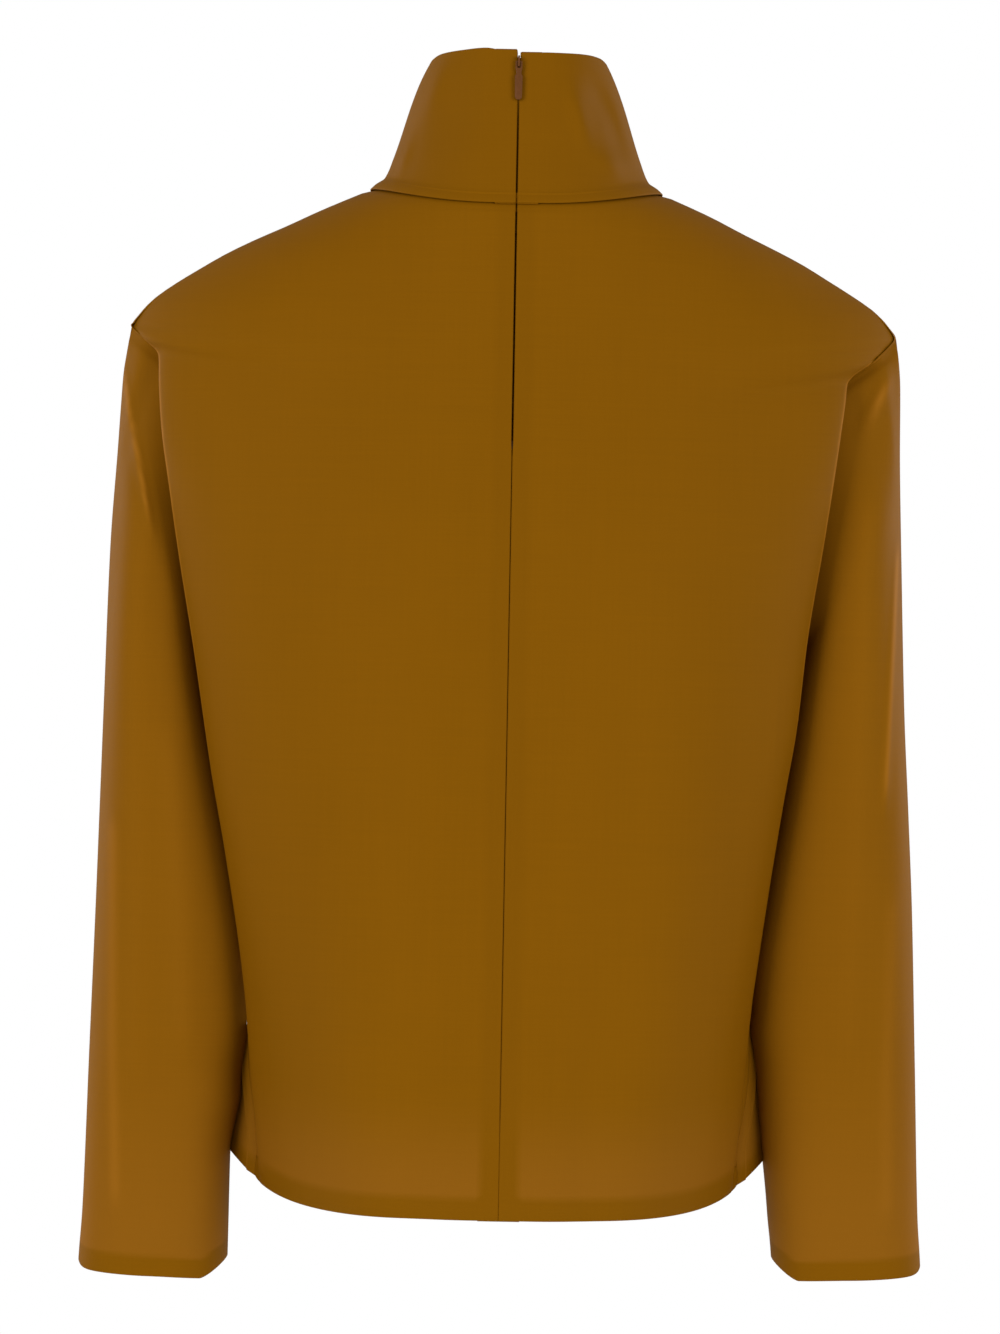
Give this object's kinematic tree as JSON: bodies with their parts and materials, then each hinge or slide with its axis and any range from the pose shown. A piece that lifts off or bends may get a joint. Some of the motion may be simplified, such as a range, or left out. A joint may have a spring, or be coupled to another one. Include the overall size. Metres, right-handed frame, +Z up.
{
  "type": "funnel-neck blouse",
  "caption": "Long-sleeved funnel-neck blouse with padded shoulders, a curved shirt-tail hem and a concealed centre-back zip whose slider and pull move.",
  "frame": {"origin": "middle of the neckline, where the collar is sewn to the body", "axes": "+Z up, +Y out of the wearer's back, +X to the wearer's left"},
  "size_m": [0.522, 0.232, 0.757],
  "materials": {
    "shell": "matte ochre-brown woven twill with a low sheen",
    "collar_lining": "the shell's own cloth, wrong side",
    "stiffener": "woven fusible interlining",
    "wadding": "covered polyester wadding",
    "zip_tape": "woven polyester tape",
    "zip_coil": "nylon coil",
    "zip_metal": "satin red-brown enamel",
    "label": "blank satin ribbon"
  },
  "bodies": {
    "garment": {"front_panel": "shell", "back_panel_left": "shell", "back_panel_right": "shell", "sleeve_left": "shell", "sleeve_right": "shell", "collar_outer": "shell", "collar_interlining": "stiffener", "collar_facing": "collar_lining", "shoulder_pad_left": "wadding", "shoulder_pad_right": "wadding", "care_label": "label", "zipper_tape_left": "zip_tape", "zipper_tape_right": "zip_tape", "zipper_coil_left": "zip_coil", "zipper_coil_right": "zip_coil", "zipper_top_stop_left": "zip_metal", "zipper_top_stop_right": "zip_metal", "zipper_bottom_stop": "zip_metal"},
    "slider": {"zipper_slider": "zip_metal"},
    "pull": {"zipper_pull": "zip_metal"}
  },
  "joints": [
    {"name": "zip_slide", "type": "slide", "parent": "garment", "child": "slider", "axis": [0, 0.1908, -0.9816], "range_m": [0, 0.23]},
    {"name": "pull_hinge", "type": "hinge", "parent": "slider", "child": "pull", "pos_m": [0, 0.0595, 0.07531], "axis": [1, 0, 0], "range_deg": [0, 170]}
  ]
}
